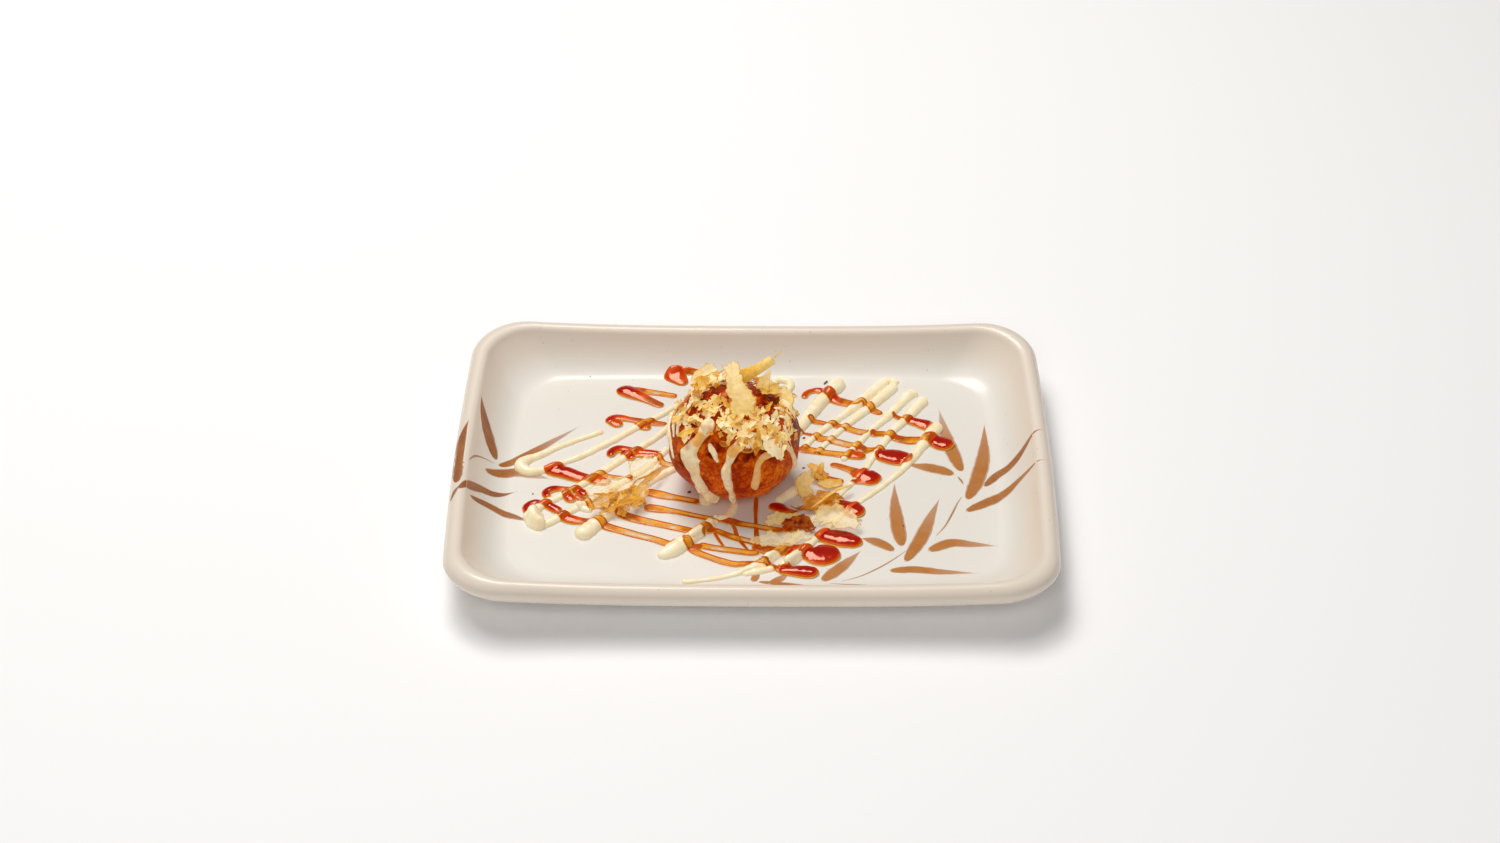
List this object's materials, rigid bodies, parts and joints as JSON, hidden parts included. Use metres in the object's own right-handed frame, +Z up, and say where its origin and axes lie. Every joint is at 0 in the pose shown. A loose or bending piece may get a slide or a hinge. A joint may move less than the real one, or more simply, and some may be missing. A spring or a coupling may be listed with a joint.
{
  "type": "takoyaki on a plate",
  "caption": "Round takoyaki dumpling with sauce, mayonnaise strands and bonito flakes, served on a rectangular melamine plate with raised rims and a leaf print.",
  "frame": {"origin": "on the table under the middle of the plate", "axes": "+X along the plate's long side to the right, +Y to the back long side, +Z up"},
  "size_m": [0.2096, 0.1518, 0.0532],
  "materials": {
    "plate": "glossy cream melamine with a brown leaf print",
    "crust": "browned batter crust under a thin sauce glaze",
    "mayonnaise": "glossy pale yellow mayonnaise",
    "sauce": "glossy dark red-brown sauce",
    "flakes": "thin dry bonito shavings"
  },
  "bodies": {
    "root": {"plate": "plate", "takoyaki_ball": "crust", "mayonnaise_strand_left_turn": "mayonnaise", "mayonnaise_strand_corner_turn": "mayonnaise", "mayonnaise_strand_front_left": "mayonnaise", "mayonnaise_strand_front": "mayonnaise", "mayonnaise_strand_thin_front": "mayonnaise", "mayonnaise_strand_back": "mayonnaise", "mayonnaise_strand_back_right": "mayonnaise", "mayonnaise_strand_pair_left": "mayonnaise", "mayonnaise_strand_pair_right": "mayonnaise", "mayonnaise_strand_turn_left": "mayonnaise", "mayonnaise_strand_turn_right": "mayonnaise", "mayonnaise_strand_right": "mayonnaise", "mayonnaise_drip_left": "mayonnaise", "mayonnaise_drip_front": "mayonnaise", "mayonnaise_drip_hook": "mayonnaise", "mayonnaise_drip_right": "mayonnaise", "sauce_pool_back_left_1": "sauce", "sauce_pool_back_left_2": "sauce", "sauce_pool_left_1": "sauce", "sauce_pool_left_2": "sauce", "sauce_pool_right_1": "sauce", "sauce_pool_right_2": "sauce", "sauce_pool_right_3": "sauce", "sauce_pool_right_4": "sauce", "sauce_pool_front_1": "sauce", "sauce_pool_front_2": "sauce", "sauce_pool_front_3": "sauce", "sauce_pool_front_4": "sauce", "bonito_flakes_on_ball": "flakes", "bonito_flakes_left": "flakes", "bonito_flakes_right": "flakes", "bonito_flake_pale": "flakes", "bonito_flake_rolled": "flakes", "bonito_flake_pointed": "flakes", "bonito_flake_back_edge": "flakes", "bonito_flake_golden": "flakes", "bonito_flake_ragged": "flakes", "bonito_flake_flat": "flakes"}
  },
  "joints": []
}
